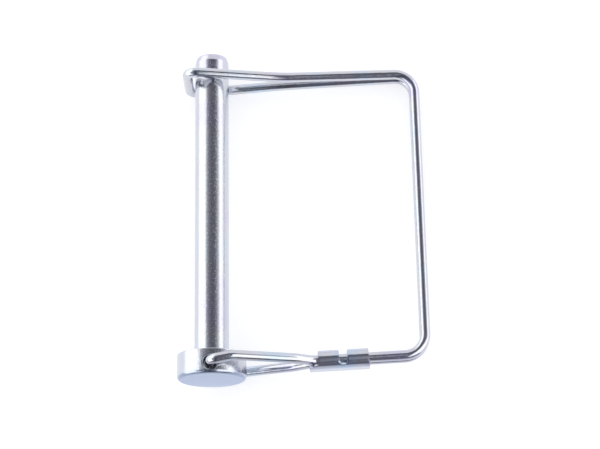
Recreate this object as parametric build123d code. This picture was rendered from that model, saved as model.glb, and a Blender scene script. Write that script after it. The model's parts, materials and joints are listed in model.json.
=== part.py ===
from build123d import *
import os

os.makedirs("parts", exist_ok=True)

# All sizes are millimetres. The pin is drawn with its shank along Y: the seat of the head at Y = 0, the tip
# towards +Y, the bail towards +X and the bail's pivot along Z. It is laid down on its side at the end.

# Pin: shank and head in one piece of steel
shank_diameter = 9.525
shank_length = 87.25
tip_taper_length = 1.9
tip_end_diameter = 8.5
tip_rounding = 1.0
head_diameter = 19.05
head_height = 6.9
head_end_rounding = 1.0
head_rim_chamfer = 0.25
cross_hole_diameter = 3.9
cross_hole_drop = 3.85
cross_hole_chamfer = 0.4

# Spring wire, and the room it has beside the head, beside the shank and beside its own second strand
wire_diameter = 2.8
head_clearance = 0.2
shank_clearance = 0.55
pair_clearance = 0.15

# Wire ends: a little nearer the seat than the middle of the cross hole, turned out of it beside the head
pivot_drop = 3.6
wire_end_reach = 6.0
wire_end_bend = 2.0

# Lower arm: parallel beside the head, then drawn together towards the mouth of the sleeve
spread_reach = 5.9
spread_drop = 2.45
spread_bend = 5.0
mouth_reach = 27.5
mouth_drop = 2.05
mouth_bend = 4.2
squeeze_length = 4.5
squeeze_spread = 9.5
squeeze_bend = 10.0

# Far side and its two corners
bail_reach = 58.5
far_side_lean = 1.05
lower_corner_drop = 0.6
lower_corner_bend = 5.9
upper_corner_height = 81.25
upper_corner_bend = 5.5

# Upper arm, and the closed loop round the shank that gets wider up to its crossbar
narrowing_reach = 20.0
narrowing_height = 79.95
narrowing_spread = 6.2
narrowing_bend = 45.0
loop_flare = 2.0
crossbar_height = 79.9
crossbar_bend = 2.7

# Sleeve: sheet folded round both strands, with a tongue at one end and a notch between two flaps
sheet_thickness = 1.1
sleeve_clearance = 0.05
sleeve_before_mouth = 0.9
tongue_length = 2.4
left_flap_length = 5.7
notch_width = 2.3
notch_corner = 0.8
right_flap_length = 5.8
base_overhang = 0.25
rim_clearance = 0.1
tongue_rear_corner = 2.2
tongue_front_corner = 0.8
seam_gap = 0.3

# Sizes that follow from these
shank_radius = shank_diameter / 2
head_radius = head_diameter / 2
wire_radius = wire_diameter / 2
beside_head = head_radius + head_clearance + wire_radius
beside_shank = shank_radius + shank_clearance + wire_radius
pair_offset = (wire_diameter + pair_clearance) / 2
squeeze_reach = mouth_reach - squeeze_length
mouth = Vector(mouth_reach, -mouth_drop, 0)
lower_corner = Vector(bail_reach, -lower_corner_drop, 0)
upper_corner = Vector(bail_reach - far_side_lean, upper_corner_height, 0)


def on_line(start, end, reach):
    """The point at a reach in X on the straight line through two points."""
    return start + (end - start) * ((reach - start.X) / (end.X - start.X))


def strand(side):
    """Corners of one strand's centre line, from its end in the head to its end of the crossbar."""
    wire_end = Vector(0, -pivot_drop, side * (head_radius - wire_end_reach))
    turn = Vector(0, -pivot_drop, side * beside_head)
    spread = Vector(spread_reach, -spread_drop, side * beside_head)
    drawn_in = on_line(Vector(spread_reach, -spread_drop, 0), mouth, squeeze_reach)
    far_side = Vector(0, 0, side * pair_offset)
    narrowing = Vector(narrowing_reach, narrowing_height, side * narrowing_spread / 2)
    crossbar = Vector(-beside_shank, crossbar_height, side * (beside_shank + loop_flare))
    return [
        wire_end,
        turn,
        spread,
        drawn_in + Vector(0, 0, side * squeeze_spread / 2),
        mouth + Vector(0, 0, side * pair_offset),
        lower_corner + far_side,
        upper_corner + far_side,
        narrowing,
        crossbar,
    ]


def wire_route():
    """Centre line of the wire: out along the front strand, round the tip and back along the rear one."""
    bends = [
        wire_end_bend,
        spread_bend,
        squeeze_bend,
        mouth_bend,
        lower_corner_bend,
        upper_corner_bend,
        narrowing_bend,
        crossbar_bend,
    ]
    return FilletPolyline(*strand(1), *strand(-1)[::-1], radius=bends + bends[::-1])


def make_pin():
    """Turned outline with a radius for each of its corners, and the hole drilled across the head."""
    taper_start = shank_length - tip_taper_length
    outline = [
        (0, -head_height, 0),
        (head_radius, -head_height, head_end_rounding),
        (head_radius, -head_rim_chamfer, 0),
        (head_radius - head_rim_chamfer, 0, 0),
        (shank_radius, 0, 0),
        (shank_radius, taper_start, 0),
        (tip_end_diameter / 2, shank_length, tip_rounding),
        (0, shank_length, 0),
    ]
    corners = [(x, y) for x, y, rounding in outline]
    roundings = [rounding for x, y, rounding in outline]
    profile = make_face(FilletPolyline(*corners, radius=roundings, close=True))
    cross_hole = Pos(0, -cross_hole_drop, 0) * Cylinder(cross_hole_diameter / 2, 2 * head_diameter)
    pin = revolve(profile, Axis.Y) - cross_hole
    hole_rims = pin.edges().filter_by(GeomType.BSPLINE)
    return chamfer(hole_rims, cross_hole_chamfer)


def make_wire_bail(route):
    """One wire, swept from end to end."""
    start = Plane(origin=route @ 0, z_dir=route % 0)
    return sweep(start * Circle(wire_radius), path=route)


def tongue_corner_cut(side, half_width, radius, height):
    """What rounds off one corner of the tongue, seen along the sheet's thickness."""
    block = Pos(side * (half_width - radius / 2), 0, radius / 2) * Box(radius, height, radius)
    rounding = Pos(side * (half_width - radius), 0, radius) * Rot(90, 0, 0) * Cylinder(radius, height)
    return block - rounding


def make_sleeve():
    """Folded tube cut back to its base strip. Local X is to the rear, Y to the tip, Z along the arm."""
    inner_height = wire_diameter + 2 * sleeve_clearance
    outer_height = inner_height + 2 * sheet_thickness
    inner_width = inner_height + 2 * pair_offset
    outer_width = outer_height + 2 * pair_offset
    notch_start = tongue_length + left_flap_length
    flaps_end = notch_start + notch_width + right_flap_length
    length = flaps_end + base_overhang
    rim = -(wire_radius + rim_clearance)

    folded = SlotOverall(outer_width, outer_height) - SlotOverall(inner_width, inner_height)
    sleeve = extrude(folded, length)

    def above_rim(start, end):
        middle = Pos(0, rim + outer_height / 2, (start + end) / 2)
        return middle * Box(2 * outer_width, outer_height, end - start)

    notch = above_rim(notch_start, notch_start + notch_width)
    notch_floor = notch.edges().filter_by(Axis.X).group_by(Axis.Y)[0]
    seam = Pos(outer_width / 2, rim + seam_gap / 2, length / 2) * Box(outer_width, seam_gap, length)
    sleeve -= above_rim(0, tongue_length)
    sleeve -= fillet(notch_floor, notch_corner)
    sleeve -= above_rim(flaps_end, length)
    sleeve -= seam
    sleeve -= tongue_corner_cut(1, outer_width / 2, tongue_rear_corner, 2 * outer_height)
    sleeve -= tongue_corner_cut(-1, outer_width / 2, tongue_front_corner, 2 * outer_height)

    along_arm = (lower_corner - mouth).normalized()
    tongue_end = on_line(mouth, lower_corner, mouth_reach - sleeve_before_mouth)
    seat = Plane(origin=tongue_end, x_dir=(0, 0, -1), z_dir=along_arm)
    return seat.from_local_coords(sleeve)


def upward_when_laid_down(route):
    """Normal of the surface that it comes to rest on: the rear strand touches it beside the head, beside
    the tip and at the upper far corner."""
    steps = 4000
    line = [route @ (step / steps) for step in range(steps + 1)]
    rear = [point for point in line if point.Z < 0]
    middle_reach = bail_reach / 2
    middle_height = shank_length / 2
    by_head = [point for point in rear if point.X < middle_reach and point.Y < middle_height]
    by_tip = [point for point in rear if point.X < middle_reach and point.Y > middle_height]
    by_far_side = [point for point in rear if point.X > middle_reach]
    upward = Vector(0, 0, 1)
    for _ in range(20):
        head_foot, tip_foot, far_foot = [
            min(group, key=lambda point: point.dot(upward)) for group in (by_head, by_tip, by_far_side)
        ]
        upward = (far_foot - head_foot).cross(tip_foot - head_foot).normalized()
    return upward


def laying_down(upward, pieces):
    """The move that brings the pieces to rest on Z = 0 with the shank towards +Y, centred in X and Y."""
    across = Vector(0, 1, 0).cross(upward).normalized()
    rest = Plane(origin=(0, 0, 0), x_dir=across, z_dir=upward)
    box = Compound(children=[rest.to_local_coords(piece) for piece in pieces]).bounding_box()
    foot = Vector(box.center().X, box.center().Y, box.min.Z)
    return Pos(*(foot * -1)) * rest.location.inverse()


route = wire_route()
pieces = {
    "pin": make_pin(),
    "wire_bail": make_wire_bail(route),
    "sleeve": make_sleeve(),
}
to_rest = laying_down(upward_when_laid_down(route), pieces.values())
for name, piece in pieces.items():
    export_step(to_rest * piece, f"parts/{name}.step")
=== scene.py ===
import json
from math import acos, atan2, cos, pi, radians, sin, sqrt, tan

import bpy
from mathutils import Matrix, Vector
from mathutils.geometry import delaunay_2d_cdt


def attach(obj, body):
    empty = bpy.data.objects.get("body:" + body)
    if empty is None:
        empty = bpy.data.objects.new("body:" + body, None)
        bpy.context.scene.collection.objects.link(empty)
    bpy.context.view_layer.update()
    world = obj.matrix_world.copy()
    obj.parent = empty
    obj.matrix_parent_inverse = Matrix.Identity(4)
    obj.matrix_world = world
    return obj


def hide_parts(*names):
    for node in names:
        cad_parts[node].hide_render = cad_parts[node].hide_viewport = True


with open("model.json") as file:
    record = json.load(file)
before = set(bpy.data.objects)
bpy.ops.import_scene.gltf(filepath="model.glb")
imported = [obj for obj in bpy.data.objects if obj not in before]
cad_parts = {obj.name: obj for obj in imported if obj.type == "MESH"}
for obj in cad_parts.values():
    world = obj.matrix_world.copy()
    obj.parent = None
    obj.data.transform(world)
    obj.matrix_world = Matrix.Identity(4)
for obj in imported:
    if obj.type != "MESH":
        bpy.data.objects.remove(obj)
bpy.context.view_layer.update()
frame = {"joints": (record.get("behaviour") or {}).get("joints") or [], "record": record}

print("frame loaded")

mm = 0.001
tiny = 1e-6  # mm, below which two places are the same
scene = bpy.context.scene
scene.view_settings.view_transform = "Standard"


def hexColor(text):
    # sRGB hex to linear RGBA
    channels = [int(text[i:i + 2], 16) / 255 for i in (1, 3, 5)]
    return [c / 12.92 if c <= 0.04045 else ((c + 0.055) / 1.055) ** 2.4 for c in channels] + [1]


def perMm(size):
    # texture scale where the coordinates are millimetres, for one feature every `size` mm
    return 1 / size


def addNode(tree, kind, inputs=None, stops=None, **settings):
    # inputs are values or sockets to link; stops are a colour ramp's (place, hex colour), from low to high
    node = tree.nodes.new(kind)
    for name, value in settings.items():
        setattr(node, name, value)
    for name, value in (inputs or {}).items():
        if isinstance(value, bpy.types.NodeSocket):
            tree.links.new(value, node.inputs[name])
        else:
            node.inputs[name].default_value = value
    if stops:
        elements = node.color_ramp.elements
        while len(elements) < len(stops):
            elements.new(0.5)
        for element, (place, shade) in zip(elements, stops):
            element.position = place
            element.color = hexColor(shade)
    return node


def newMaterial(name):
    material = bpy.data.materials.new(name)
    material.use_nodes = True
    material.node_tree.nodes.clear()
    return material, material.node_tree


# The pieces are drawn in bench millimetres: X from the shank to the bail's far side, Y from the seat of the
# head towards the tip, Z along the bail's pivot. This turns them to how the pin lies in the frame.
bench = {
    "pivotDrop": 3.6,  # pivot below the seat
}
pivotJoint = frame["joints"][0]
shankMount = next(m for m in frame["record"]["mounts"] if m["name"] == "shank")
tipward = Vector(shankMount["axis"]).normalized()
pivotAxis = -Vector(pivotJoint["axis"]).normalized()
bailward = tipward.cross(pivotAxis).normalized()
lieDown = Matrix([bailward * mm, tipward * mm, pivotAxis * mm]).transposed().to_4x4()
lieDown.translation = Vector(pivotJoint["pos_m"]) + tipward * bench["pivotDrop"] * mm


def makePiece(name, points, faces, grain, body, node, material):
    # points and grain are in bench mm; grain is what the plating's pattern follows
    mesh = bpy.data.meshes.new(name)
    mesh.from_pydata([lieDown @ Vector(p) for p in points], [], faces)
    mesh.validate()
    mesh.shade_smooth()
    layer = mesh.attributes.new("grain", "FLOAT_VECTOR", "POINT")
    layer.data.foreach_set("vector", [c for g in grain for c in g])
    piece = bpy.data.objects.new(name, mesh)
    scene.collection.objects.link(piece)
    piece.data.materials.append(material)
    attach(piece, body)
    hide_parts(node)
    return piece


def cornerArc(previous, here, following, rounding, step, fewest=3):
    # points round a corner with this radius, about one step apart, in at least the fewest steps
    before = (previous - here).normalized()
    after = (following - here).normalized()
    half = before.angle(after) / 2
    centre = here + (before + after).normalized() * rounding / sin(half)
    start = here + before * rounding / tan(half) - centre
    end = here + after * rounding / tan(half) - centre
    axis = start.cross(end).normalized()
    turn = pi - 2 * half
    steps = max(fewest, round(rounding * turn / step))
    return [centre + Matrix.Rotation(turn * k / steps, 3, axis) @ start for k in range(steps + 1)]


def joinRings(a, b):
    # four-sided faces between two closed rings of point numbers
    count = len(a)
    return [[a[k], a[(k + 1) % count], b[(k + 1) % count], b[k]] for k in range(count)]


def stepsBetween(low, high, count):
    # what splits a stretch into equal steps, without its ends
    return [low + (high - low) * k / count for k in range(1, count)]


# Materials

def zincPlate(name, look):
    # Bright zinc, blue passivated: a mirror-like silver metal with a faint lavender and pale blue bloom,
    # over the fine lines that drawing or rolling left in the steel
    material, tree = newMaterial(name)
    place = addNode(tree, "ShaderNodeAttribute", attribute_name="grain").outputs["Vector"]
    layers = [
        # layer, size in mm, stretch, detail and roughness of the noise
        ("bloom", look["bloomMm"], (1, 1, 1), 2.0, 0.5),
        ("crystals", look["crystalMm"], look["crystalStretch"], 4.0, 0.6),
        ("lines", look["lineMm"], look["lineStretch"], 3.0, 0.6),
    ]
    noise = {}
    for layer, size, stretch, detail, rough in layers:
        spread = addNode(tree, "ShaderNodeMapping", {"Vector": place, "Scale": stretch})
        texture = addNode(
            tree,
            "ShaderNodeTexNoise",
            {
                "Vector": spread.outputs["Vector"],
                "Scale": perMm(size),
                "Detail": detail,
                "Roughness": rough,
            },
        )
        noise[layer] = texture.outputs["Fac"]

    # bloom of the passivated layer, in patches of a centimetre or so; most of the noise lies between 0.36
    # and 0.64
    bloom = addNode(
        tree,
        "ShaderNodeValToRGB",
        {"Fac": noise["bloom"]},
        stops=[(0.36, look["blue"]), (0.5, look["silver"]), (0.64, look["lavender"])],
    )
    tint = bloom.outputs["Color"]
    # painted reflection: the plating turns bluer towards the head's end, which faces the board in front of
    # it; this blue is on top of the bloom's own random blue
    if "endReflectionBlue" in look:
        height = addNode(tree, "ShaderNodeSeparateXYZ", {"Vector": place}).outputs["Y"]
        paintedEndReflection = addNode(
            tree,
            "ShaderNodeMapRange",
            {
                "Value": height,
                "From Min": look["endReflectionFrom"],
                "From Max": look["endReflectionTo"],
                "To Min": 0.0,
                "To Max": look["endReflectionShare"],
            },
        )
        # the sockets 6 and 7 are the two colours, and output 2 is the mixed one
        mix = addNode(
            tree,
            "ShaderNodeMix",
            {"Factor": paintedEndReflection.outputs["Result"], 6: tint, 7: hexColor(look["endReflectionBlue"])},
            data_type="RGBA",
        )
        tint = mix.outputs[2]

    # the plating is dull where its crystals stand up
    brightBelow, dullAbove = 0.42, 0.72  # of the crystals' noise
    dulling = addNode(
        tree,
        "ShaderNodeMapRange",
        {
            "Value": noise["crystals"],
            "From Min": brightBelow,
            "From Max": dullAbove,
            "To Min": look["bright"],
            "To Max": look["dull"],
        },
    )
    lines = addNode(tree, "ShaderNodeMath", {0: noise["lines"], 1: look["lineDepth"]}, operation="MULTIPLY")
    relief = addNode(tree, "ShaderNodeMath", {0: noise["crystals"], 1: lines.outputs[0]}, operation="ADD")
    reliefMm = 0.02
    bump = addNode(
        tree,
        "ShaderNodeBump",
        {"Height": relief.outputs[0], "Strength": look["bump"], "Distance": reliefMm * mm},
    )
    metal = addNode(
        tree,
        "ShaderNodeBsdfPrincipled",
        {
            "Base Color": tint,
            "Metallic": 1.0,
            "Roughness": dulling.outputs["Result"],
            "Normal": bump.outputs["Normal"],
        },
    )
    addNode(tree, "ShaderNodeOutputMaterial", {"Surface": metal.outputs["BSDF"]})
    return material


# The crystals of the coating are finer than a pixel, so all three are drawn coarse enough to show.
barPlate = zincPlate("zinc plated drawn bar", {
    "silver": "#cfd1d6",
    "lavender": "#cbcbdb",
    "blue": "#ccd2dc",
    "endReflectionBlue": "#b4c2dc",  # painted reflection: blue mixed in towards the head's end, standing in for the bluish board that the end reflects
    "endReflectionFrom": -5.4,  # heights in bench mm
    "endReflectionTo": -6.9,
    "endReflectionShare": 0.85,
    "bloomMm": 14.0,
    "crystalMm": 0.34,
    "crystalStretch": (1, 0.5, 1),
    "lineMm": 0.25,  # lines left by drawing, along the bar
    "lineStretch": (1, 0.02, 1),
    "lineDepth": 0.6,
    "bright": 0.08,  # roughness of the brightest and the dullest spots
    "dull": 0.36,
    "bump": 1.0,
})
wirePlate = zincPlate("zinc plated spring wire", {
    "silver": "#cfd0d6",
    "lavender": "#c9c9da",
    "blue": "#c6d2e0",
    "bloomMm": 17.0,
    "crystalMm": 0.3,
    "crystalStretch": (1, 1, 0.3),
    "lineMm": 0.3,  # lines left by the drawing die, along the wire
    "lineStretch": (1, 1, 0.02),
    "lineDepth": 1.2,
    "bright": 0.09,
    "dull": 0.26,
    "bump": 0.5,
})
sheetPlate = zincPlate("zinc plated sheet steel", {
    "silver": "#cdcfd7",
    "lavender": "#c6c6dc",
    "blue": "#c2d0e2",
    "bloomMm": 9.0,
    "crystalMm": 0.35,
    "crystalStretch": (1, 1, 1),
    "lineMm": 0.3,  # lines left by rolling, along the arm
    "lineStretch": (0.05, 1, 1),
    "lineDepth": 0.5,
    "bright": 0.17,
    "dull": 0.26,
    "bump": 0.1,
})
print("materials made")


# Pin: shank and head, with a hole across the head

pin = {
    "shankRadius": 4.7625,
    "shankLength": 87.25,
    "taperLength": 1.9,
    "taperSoftness": 0.8,  # radius where the shank turns into the taper
    "tipRadius": 4.25,
    "tipRounding": 1.0,
    "headRadius": 9.525,
    "headHeight": 6.9,
    "endRounding": 1.0,
    "rimRounding": 0.22,
    "neckFillet": 0.25,
    "holeRadius": 1.95,
    "holeDrop": 3.85,
    "holeRounding": 0.4,  # broken edge of the cross hole
    "faces": 128,  # round the pin
    "arcStep": 9,  # degrees between the rows of a rounding
    "supportLoop": 0.12,  # keeps flat faces flat beside a rounding
    "endRings": 5,  # on the head's end, so that it shades flat
    "shankRows": 24,
    "sideRows": 9,  # on the head's straight side, up to the top of the hole's patch
    "patchTop": 0.95,  # below the seat
    "patchBottom": 0.35,  # above the head's end
    "patchTurns": 7,  # faces each side of the hole that its patch takes up
    "patchRings": 6,
    "edgeRings": 5,
    "boreRings": 3,
}


def pinOutline():
    # half section as (radius, height, 0), from the middle of the head's end to the middle of the tip
    support = pin["supportLoop"]
    corners = [
        (0, -pin["headHeight"], 0),
        (pin["headRadius"], -pin["headHeight"], pin["endRounding"]),
        (pin["headRadius"], 0, pin["rimRounding"]),
        (pin["shankRadius"], 0, pin["neckFillet"]),
        (pin["shankRadius"], pin["shankLength"] - pin["taperLength"], pin["taperSoftness"]),
        (pin["tipRadius"], pin["shankLength"], pin["tipRounding"]),
        (0, pin["shankLength"], 0),
    ]
    places = [Vector((r, y, 0)) for r, y, rounding in corners]
    outline = [places[0]]
    for i in range(1, len(corners) - 1):
        previous, here, following = places[i - 1:i + 2]
        rounding = corners[i][2]
        arc = cornerArc(previous, here, following, rounding, rounding * radians(pin["arcStep"]))
        outline.append(arc[0] + (previous - here).normalized() * support)
        outline += arc
        outline.append(arc[-1] + (following - here).normalized() * support)
    outline.append(places[-1])

    # rows on the head's side, then along the shank, then on the head's end
    sideEnd = -pin["headHeight"] + pin["endRounding"]
    first = next(i for i, p in enumerate(outline) if p.y > sideEnd + support - tiny)
    rows = stepsBetween(sideEnd, -pin["patchTop"], pin["sideRows"]) + [-pin["patchTop"]]
    outline[first:first + 1] = [Vector((pin["headRadius"], y, 0)) for y in rows]
    upper = next(i for i, p in enumerate(outline) if p.y > pin["shankLength"] / 2)
    rows = stepsBetween(outline[upper - 1].y, outline[upper].y, pin["shankRows"])
    outline[upper:upper] = [Vector((pin["shankRadius"], y, 0)) for y in rows]
    rings = stepsBetween(0, outline[1].x, pin["endRings"])
    outline[1:1] = [Vector((r, -pin["headHeight"], 0)) for r in rings]
    return outline


def headSurface(x, y, side, sink):
    # on the head's side or the rounding at its end, in front (1) or behind (-1), sunk in by so much
    rounding = pin["endRounding"]
    drop = max(0, min(rounding, -pin["headHeight"] + rounding - y))
    radius = pin["headRadius"] - rounding + sqrt(rounding ** 2 - drop ** 2)
    return x, y, side * (sqrt(radius ** 2 - x * x) - sink)


def addHole(points, rows, low, high, side):
    # rings from the border of the opening in the head's side, between two rows, to the hole's edge, over
    # its rounding and into the bore; gives the faces, and the last ring
    half = pin["faces"] // 2
    turns = range(-pin["patchTurns"], pin["patchTurns"] + 1)
    columns = [(k if side > 0 else half - k) % pin["faces"] for k in turns]
    border = [rows[low][c] for c in columns]
    border += [rows[i][columns[-1]] for i in range(low + 1, high)]
    border += [rows[high][c] for c in reversed(columns)]
    border += [rows[i][columns[0]] for i in range(high - 1, low, -1)]
    corners = [points[index] for index in border]
    angles = [atan2(y + pin["holeDrop"], x) for x, y, z in corners]
    edgeReach = pin["holeRadius"] + pin["holeRounding"]
    rings = [border]

    def addRing(spots):
        rings.append([len(points) + k for k in range(len(spots))])
        points.extend(spots)

    def onCircle(reach, angle):
        return reach * cos(angle), -pin["holeDrop"] + reach * sin(angle)

    for r in range(1, pin["patchRings"] + 1):
        blend = r / pin["patchRings"]
        spots = []
        for (x0, y0, z0), angle in zip(corners, angles):
            x1, y1 = onCircle(edgeReach, angle)
            spots.append(headSurface(x0 + (x1 - x0) * blend, y0 + (y1 - y0) * blend, side, 0))
        addRing(spots)
    for r in range(1, pin["edgeRings"] + 1):
        bend = pi / 2 * r / pin["edgeRings"]
        reach = edgeReach - pin["holeRounding"] * sin(bend)
        sink = pin["holeRounding"] * (1 - cos(bend))
        addRing([headSurface(*onCircle(reach, angle), side, sink) for angle in angles])
    edge = [points[index] for index in rings[-1]]
    for r in range(1, pin["boreRings"] + 1):
        depth = 1 - r / (pin["boreRings"] + 1)
        addRing([(x, y, z * depth) for x, y, z in edge])

    faces = [loop for outer, inner in zip(rings, rings[1:]) for loop in joinRings(outer, inner)]
    if side < 0:
        faces = [loop[::-1] for loop in faces]
    return faces, rings[-1]


def makePinMesh():
    outline = pinOutline()
    count, turns = pin["faces"], pin["patchTurns"]
    low = next(i for i, p in enumerate(outline) if p.y > -pin["headHeight"] + pin["patchBottom"])
    high = next(i for i, p in enumerate(outline) if abs(p.y + pin["patchTop"]) < tiny)
    points, rows = [], []
    for p in outline:
        if p.x < tiny:  # on the axis one point does for the whole row
            rows.append([len(points)] * count)
            points.append((0, p.y, 0))
            continue
        rows.append([len(points) + k for k in range(count)])
        angles = [2 * pi * k / count for k in range(count)]
        points += [(p.x * sin(angle), p.y, p.x * cos(angle)) for angle in angles]
    faces = []
    for i in range(len(rows) - 1):
        for k, loop in enumerate(joinRings(rows[i], rows[i + 1])):
            besideHole = (k + turns) % (count // 2) < 2 * turns
            if low <= i < high and besideHole:
                continue
            faces.append(list(dict.fromkeys(loop)))
    frontFaces, front = addHole(points, rows, low, high, 1)
    rearFaces, rear = addHole(points, rows, low, high, -1)
    return points, faces + frontFaces + rearFaces + joinRings(front, rear)


pinPoints, pinFaces = makePinMesh()
makePiece("headed_pin", pinPoints, pinFaces, pinPoints, "pin_body", "pin", barPlate)
print("pin made", len(pinPoints))


# Bail: one wire from the head, round the tip and back

wire = {
    "radius": 1.4,
    "headGap": 0.2,  # between the wire and the head's side
    "shankGap": 0.55,
    "pairGap": 0.15,
    "endReach": 6.0,
    "endBend": 2.0,
    "spreadAt": (5.9, -2.45),  # each place is (X, Y) midway between the strands
    "spreadBend": 5.0,
    "squeezeAt": 23.0,  # X, on the line from there to the mouth
    "squeezeSpread": 9.5,
    "squeezeBend": 10.0,
    "mouthAt": (27.5, -2.05),
    "mouthBend": 4.2,
    "lowerCorner": (58.5, -0.6),
    "lowerBend": 5.9,
    "upperCorner": (57.45, 81.25),
    "upperBend": 5.5,
    "narrowAt": (20.0, 79.95),
    "narrowSpread": 6.2,
    "narrowBend": 45.0,
    "loopFlare": 2.0,
    "crossbarAt": 79.9,  # Y
    "crossbarBend": 2.7,
    "faces": 40,  # round the wire
    "bendStep": 5,  # degrees between the rings of a bend
    "ringSpacing": 3.0,  # mm between the rings of a straight run
    "endRounding": 0.3,
    "endRings": 4,
}
besideHead = pin["headRadius"] + wire["headGap"] + wire["radius"]
besideShank = pin["shankRadius"] + wire["shankGap"] + wire["radius"]
pairOffset = wire["radius"] + wire["pairGap"] / 2


def midway(place):
    return Vector((*place, 0))


def strand(side):
    # corners of one strand from its end in the head to its end of the crossbar, each with its bend
    across = Vector((0, 0, side))
    pivot = midway((0, -bench["pivotDrop"]))
    spread, mouth = midway(wire["spreadAt"]), midway(wire["mouthAt"])
    squeeze = spread.lerp(mouth, (wire["squeezeAt"] - spread.x) / (mouth.x - spread.x))
    crossbar = midway((-besideShank, wire["crossbarAt"]))
    return [
        (pivot + across * (pin["headRadius"] - wire["endReach"]), 0),
        (pivot + across * besideHead, wire["endBend"]),
        (spread + across * besideHead, wire["spreadBend"]),
        (squeeze + across * wire["squeezeSpread"] / 2, wire["squeezeBend"]),
        (mouth + across * pairOffset, wire["mouthBend"]),
        (midway(wire["lowerCorner"]) + across * pairOffset, wire["lowerBend"]),
        (midway(wire["upperCorner"]) + across * pairOffset, wire["upperBend"]),
        (midway(wire["narrowAt"]) + across * wire["narrowSpread"] / 2, wire["narrowBend"]),
        (crossbar + across * (besideShank + wire["loopFlare"]), wire["crossbarBend"]),
    ]


def wireCentreLine():
    corners = strand(1) + strand(-1)[::-1]
    places = [place for place, bend in corners]
    line = [places[0]]
    for i in range(1, len(corners) - 1):
        bend = corners[i][1]
        line += cornerArc(*places[i - 1:i + 2], bend, bend * radians(wire["bendStep"]))
    line.append(places[-1])
    # rings on long straight runs, so that the plating's pattern and the light run evenly along them
    spaced = [line[0]]
    for p in line[1:]:
        last = spaced[-1]
        pieces = max(1, round((p - last).length / wire["ringSpacing"]))
        spaced += [last.lerp(p, k / pieces) for k in range(1, pieces + 1)]
    return spaced


def makeWireMesh():
    line = wireCentreLine()
    count, radius, rounding = wire["faces"], wire["radius"], wire["endRounding"]
    points, grain, rings = [], [], []

    def addRing(centre, size, ahead, side, travelled):
        up = ahead.cross(side)
        rings.append([len(points) + k for k in range(count)])
        for k in range(count):
            angle = 2 * pi * k / count
            points.append(centre + (side * cos(angle) + up * sin(angle)) * size)
            grain.append((radius * cos(angle), radius * sin(angle), travelled))

    def addEnd(tip, inward, ahead, side, travelled):
        # rounded end, from the full ring to the smallest
        for k in range(wire["endRings"]):
            bend = pi / 2 * k / wire["endRings"]
            centre = tip + inward * rounding * (1 - sin(bend))
            addRing(centre, radius - rounding * (1 - cos(bend)), ahead, side, travelled)

    ahead = (line[1] - line[0]).normalized()
    side = ahead.orthogonal().normalized()
    addEnd(line[0], ahead, ahead, side, 0)
    rings.reverse()
    travelled = 0.0
    for previous, here, following in zip(line, line[1:], line[2:]):
        travelled += (here - previous).length
        ahead = ((following - here).normalized() + (here - previous).normalized()).normalized()
        side = (side - ahead * side.dot(ahead)).normalized()  # carried along without twist
        addRing(here, radius, ahead, side, travelled)
    travelled += (line[-1] - line[-2]).length
    ahead = (line[-1] - line[-2]).normalized()
    side = (side - ahead * side.dot(ahead)).normalized()
    addEnd(line[-1], -ahead, ahead, side, travelled)
    faces = [loop for a, b in zip(rings, rings[1:]) for loop in joinRings(a, b)]
    return points, faces + [rings[0][::-1], rings[-1]], grain


wirePoints, wireFaces, wireGrain = makeWireMesh()
makePiece(
    "double_wire_bail",
    wirePoints,
    wireFaces,
    wireGrain,
    "bail_body",
    "wire_bail",
    wirePlate,
)
print("bail made", len(wirePoints))


# Sleeve: a blank of sheet, folded round both strands

sleeve = {
    "sheet": 1.1,
    "clearance": 0.05,
    "beforeMouth": 0.9,
    "tongue": 2.4,
    "leftFlap": 5.7,
    "notch": 2.3,
    "notchCorner": 0.8,
    "rightFlap": 5.8,
    "baseOverhang": 0.25,
    "rimBelow": 1.5,  # height of the base strip's edges, below the wires' middle
    "rearCorner": 2.2,
    "frontCorner": 1.9,
    "flapCorner": 0.2,
    "tongueRoot": 0.3,  # inner corner where the tongue starts
    "baseStep": 0.12,  # corners where the base strip comes out beyond the flaps
    "seamGap": 0.3,
    "edgeRounding": 0.12,  # what shearing and tumbling leave on the edges
    "edgeSegments": 3,
    "edgeAngle": 50,  # degrees, from which an edge is rounded
    "cornerStep": 0.3,  # mm between points round a corner
    "grid": 0.4,  # mm between points on the sheet
    "gridMargin": 0.55,  # share of the grid that its points keep off the outline
}
bendRadius = wire["radius"] + sleeve["clearance"] + sleeve["sheet"] / 2  # to the middle of the sheet
bendLength = pi * bendRadius
flatLength = 2 * pairOffset


def onFold(s):
    # where a distance along the fold lies in the sleeve's section, as (rearward, tipward). It starts at the
    # bottom of the rear bend, goes over the top and the front bend and comes back along the bottom
    s %= 2 * (bendLength + flatLength)
    if s < bendLength:
        angle = s / bendRadius
        return pairOffset + bendRadius * sin(angle), -bendRadius * cos(angle)
    s -= bendLength
    if s < flatLength:
        return pairOffset - s, bendRadius
    s -= flatLength
    if s < bendLength:
        angle = s / bendRadius
        return -pairOffset - bendRadius * sin(angle), bendRadius * cos(angle)
    return -pairOffset + s - bendLength, -bendRadius


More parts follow.
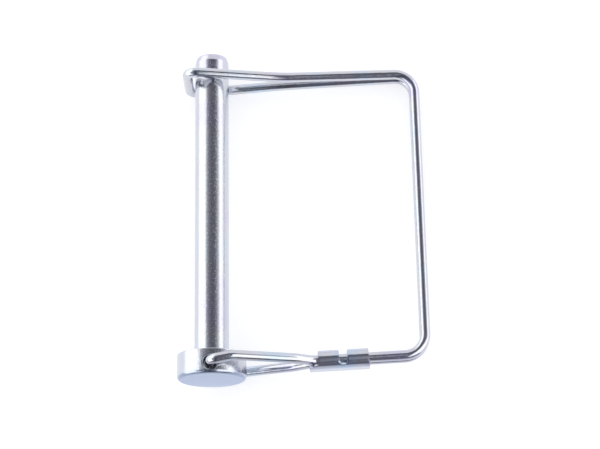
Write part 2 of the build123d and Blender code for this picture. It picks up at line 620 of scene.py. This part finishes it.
def blankOutline():
    # the flat blank as (distance along the fold, distance along the arm, 0), in steps of the grid
    rimTurn = acos(sleeve["rimBelow"] / bendRadius)  # from the bottom up to the base strip's edge
    seam = bendRadius * acos((sleeve["rimBelow"] - sleeve["seamGap"]) / bendRadius)
    baseStart = bendLength + flatLength + bendRadius * (pi - rimTurn)
    baseEnd = 2 * (bendLength + flatLength) + bendRadius * rimTurn
    tongueEnd = sleeve["tongue"]
    notchStart = tongueEnd + sleeve["leftFlap"]
    notchEnd = notchStart + sleeve["notch"]
    flapsEnd = notchEnd + sleeve["rightFlap"]
    length = flapsEnd + sleeve["baseOverhang"]
    corners = [
        (seam, tongueEnd, "flapCorner"),
        (seam, notchStart, "flapCorner"),
        (baseStart, notchStart, "notchCorner"),
        (baseStart, notchEnd, "notchCorner"),
        (seam, notchEnd, "flapCorner"),
        (seam, flapsEnd, "flapCorner"),
        (baseStart, flapsEnd, "baseStep"),
        (baseStart, length, "baseStep"),
        (baseEnd, length, "flapCorner"),
        (baseEnd, 0, "rearCorner"),
        (baseStart, 0, "frontCorner"),
        (baseStart, tongueEnd, "tongueRoot"),
    ]
    places = [midway((s, v)) for s, v, rounding in corners]
    outline = []
    for i, (s, v, rounding) in enumerate(corners):
        near = places[i - 1], places[i], places[(i + 1) % len(places)]
        outline += cornerArc(*near, sleeve[rounding], sleeve["cornerStep"], fewest=2)
    spaced = []
    for p, q in zip(outline, outline[1:] + outline[:1]):
        parts = max(1, round((q - p).length / sleeve["grid"]))
        spaced += [p.lerp(q, k / parts) for k in range(parts)]
    return spaced


def isOnBlank(p, outline):
    # inside the outline, and not too near it
    odd = False
    for a, b in zip(outline, outline[-1:] + outline[:-1]):
        if (a.y > p.y) != (b.y > p.y) and p.x < (b.x - a.x) * (p.y - a.y) / (b.y - a.y) + a.x:
            odd = not odd
    return odd and min((p - q).length for q in outline) > sleeve["gridMargin"] * sleeve["grid"]


def makeBlank():
    # triangles over the blank's outline and a grid of points on it
    outline = blankOutline()
    grid = sleeve["grid"]
    start = min(p.x for p in outline)
    rows = int((max(p.x for p in outline) - start) / grid) + 1
    columns = int(max(p.y for p in outline) / grid) + 1
    spots = [midway((start + i * grid, j * grid)) for i in range(rows) for j in range(columns)]
    inner = [p for p in spots if isOnBlank(p, outline)]
    edges = [(i, (i + 1) % len(outline)) for i in range(len(outline))]
    insideOnly, mergeDistance = 1, 1e-5  # keeps the triangles within the outline
    flat = [p.to_2d() for p in outline + inner]
    points, _, faces, *_ = delaunay_2d_cdt(flat, edges, [], insideOnly, mergeDistance)
    return points, [list(face) for face in faces]


def makeSleeve():
    blank, faces = makeBlank()
    mouth = midway(wire["mouthAt"])
    along = (midway(wire["lowerCorner"]) - mouth).normalized()
    start = mouth - along * (sleeve["beforeMouth"] / along.x)
    rearward = Vector((0, 0, -1))
    upward = along.cross(rearward)
    points = []
    for p in blank:
        r, u = onFold(p.x)
        points.append(start + along * p.y + rearward * r + upward * u)
    piece = makePiece(
        "folded_sleeve",
        points,
        faces,
        [(p.y, p.x, 0) for p in blank],
        "bail_body",
        "sleeve",
        sheetPlate,
    )
    thick = piece.modifiers.new("sheet thickness", "SOLIDIFY")
    thick.thickness = sleeve["sheet"] * mm
    thick.offset = 0
    thick.use_even_offset = True
    soft = piece.modifiers.new("sheared edges", "BEVEL")
    soft.width = sleeve["edgeRounding"] * mm
    soft.segments = sleeve["edgeSegments"]
    soft.limit_method = "ANGLE"
    soft.angle_limit = radians(sleeve["edgeAngle"])
    soft.use_clamp_overlap = True


makeSleeve()
print("sleeve made")


# Floor and studio

studio = {
    "floorReach": 3.0,  # metres from the middle
    "board": "#c9cacd",  # pale grey board
    "whiten": 0.54,  # added where camera and metal see the board, so that it reads as the photo's white
    "room": "#fdfdff",
    "roomGlow": 1.0,
    "softboxGlow": 1.65,
    "cardGlow": 1.0,
}


def rectangle(first, last):
    # corners of a level or upright rectangle, from two opposite ones
    (x0, y0, z0), (x1, y1, z1) = first, last
    if z0 == z1:
        return [(x0, y0, z0), (x1, y0, z0), (x1, y1, z0), (x0, y1, z0)]
    return [(x0, y0, z0), (x1, y1, z0), (x1, y1, z1), (x0, y0, z1)]


def addPlane(name, corners, material):
    mesh = bpy.data.meshes.new(name)
    mesh.from_pydata(corners, [], [[0, 1, 2, 3]])
    mesh.materials.append(material)
    plane = bpy.data.objects.new(name, mesh)
    scene.collection.objects.link(plane)
    return plane


def paleBoard():
    # matt painted board, with a soft shadow of the pin
    material, tree = newMaterial("pale board")
    ray = addNode(tree, "ShaderNodeLightPath").outputs
    seen = ray["Is Camera Ray"]
    for kind in ("Is Glossy Ray", "Is Transmission Ray"):
        seen = addNode(tree, "ShaderNodeMath", {0: seen, 1: ray[kind]}, operation="MAXIMUM").outputs[0]
    paint = addNode(tree, "ShaderNodeBsdfDiffuse", {"Color": hexColor(studio["board"])})
    lift = addNode(tree, "ShaderNodeEmission", {"Color": hexColor("#ffffff"), "Strength": studio["whiten"]})
    both = addNode(tree, "ShaderNodeAddShader", {0: paint.outputs[0], 1: lift.outputs[0]})
    mixed = addNode(tree, "ShaderNodeMixShader", {"Fac": seen, 1: paint.outputs[0], 2: both.outputs[0]})
    addNode(tree, "ShaderNodeOutputMaterial", {"Surface": mixed.outputs[0]})
    return material


reach = studio["floorReach"]
addPlane("floor", rectangle((-reach, -reach, 0), (reach, reach, 0)), paleBoard())

world = bpy.data.worlds.new("white room")
scene.world = world
world.use_nodes = True
world.node_tree.nodes.clear()
room = addNode(
    world.node_tree,
    "ShaderNodeBackground",
    {"Color": hexColor(studio["room"]), "Strength": studio["roomGlow"]},
)
addNode(world.node_tree, "ShaderNodeOutputWorld", {"Surface": room.outputs[0]})

# Softboxes, and cards for the dark of the room, as the photo's metal shows them. Only the metal sees them.
# What lies one metre up spans the tangents of the angles from straight up. Two corners are opposite ones of
# a rectangle. Shades are (place, colour) along X, or along the axis that is named.
frontShades = [
    (0.0, "#c0c0c6"),
    (0.14, "#8e8e96"),
    (0.28, "#55555c"),
    (0.52, "#50505a"),
    (0.66, "#6c6c78"),
    (0.93, "#70707a"),
    (1.0, "#b0b0b8"),
]
panels = {
    "overhead card": {
        "corners": [(-0.67, 0.1, 1), (1.75, 0.73, 1)],
        "shades": [
            (0.0, "#dedee2"),
            (0.07, "#c2c2c8"),
            (0.13, "#9a9aa2"),
            (0.22, "#7b7b84"),
            (0.32, "#67676f"),
            (0.48, "#6b6b73"),
            (0.58, "#8a8a92"),
            (0.69, "#b4b4bc"),
            (0.85, "#d8d8de"),
            (1.0, "#fdfdff"),
        ],
    },
    "front card, overhead": {
        "corners": [(-0.6, -1.2, 1), (0.47, 0.1, 1)],
        "shades": frontShades,
    },
    "front card": {
        "corners": [(-0.6, -1.2, 0.01), (0.47, -1.2, 1)],
        "shades": frontShades,
    },
    "low front strip": {
        "corners": [(-1.1, -1.22, 0), (1.4, -1.22, 0.5)],
        "shades": [(0.0, "#8a8a94"), (0.3, "#505058"), (0.7, "#404048"), (1.0, "#606068")],
    },
    # in front of the pin the board falls off into shade, which the photo's metal shows from below
    "shade on the board": {
        "corners": [(-0.5, -1.2, 0.0005), (0.5, -0.0485, 0.0005)],
        "shades": [
            (0.0, "#7a7a82"),
            (0.83, "#a0a0a8"),
            (0.92, "#cacad2"),
            (0.985, "#dadce4"),
            (1.0, "#ebf0fb"),
        ],
        "axis": "Y",
    },
    "front card, left": {
        "corners": [(-1.0, -1.2, 1), (-0.6, 0.02, 1)],
        "shades": [(0.0, "#8896aa"), (1.0, "#8896aa")],
    },
    "gap between cards": {
        "corners": [(0.085, -0.28, 0.5), (0.12, 0.02, 0.5)],
        "shades": [(0.0, "#a8a8b2"), (0.5, "#c0c0c8")],
    },
    "left softbox": {
        "corners": [(-1.2, -2.2, 0), (-1.2, 2.9, 1.78)],
    },
    "right softbox": {  # lower at the back
        "corners": [(1.9, -2.2, 0.1), (1.9, 2.0, 0.1), (1.9, 2.0, 1.3), (1.9, -2.2, 2.2)],
    },
    "front softbox": {
        "corners": [(0.5, -1.3, 1), (1.1, -0.04, 1)],
    },
}


def addPanel(name, look):
    # glows evenly as a softbox does, or in shades as a card does in a dim room
    material, tree = newMaterial(name)
    color, strength = hexColor("#ffffff"), studio["softboxGlow"]
    if "shades" in look:
        place = addNode(tree, "ShaderNodeTexCoord").outputs["Generated"]
        split = addNode(tree, "ShaderNodeSeparateXYZ", {"Vector": place}).outputs
        along = split[look.get("axis", "X")]
        color = addNode(tree, "ShaderNodeValToRGB", {"Fac": along}, stops=look["shades"]).outputs["Color"]
        strength = studio["cardGlow"]
    glow = addNode(tree, "ShaderNodeEmission", {"Color": color, "Strength": strength})
    addNode(tree, "ShaderNodeOutputMaterial", {"Surface": glow.outputs[0]})
    corners = look["corners"]
    panel = addPlane(name, corners if len(corners) == 4 else rectangle(*corners), material)
    panel.visible_camera = False
    panel.visible_diffuse = False
    panel.visible_shadow = False


for name, look in panels.items():
    addPanel(name, look)


# Camera, where the photo was taken from

lens = {
    "place": (0.054972, -0.139363, 0.535682),
    "target": (-0.001517, -0.000774, 0.0),
    "roll": -1.040,  # degrees
    "focal": 117.76,
    "sensor": 36.0,
    "nearest": 0.02,
    "farthest": 20,
}
camera = bpy.data.cameras.new("camera")
camera.lens = lens["focal"]
camera.sensor_width = lens["sensor"]
camera.sensor_fit = "HORIZONTAL"
camera.clip_start = lens["nearest"]
camera.clip_end = lens["farthest"]
viewer = bpy.data.objects.new("camera", camera)
scene.collection.objects.link(viewer)
back = (Vector(lens["place"]) - Vector(lens["target"])).normalized()
sideways = Vector((0, 1, 0)).cross(back).normalized()
upright = back.cross(sideways)
turned = Matrix.Rotation(radians(lens["roll"]), 3, back)
axes = Matrix([turned @ sideways, turned @ upright, back]).transposed()
viewer.matrix_world = Matrix.Translation(lens["place"]) @ axes.to_4x4()
scene.camera = viewer
print("studio and camera made")
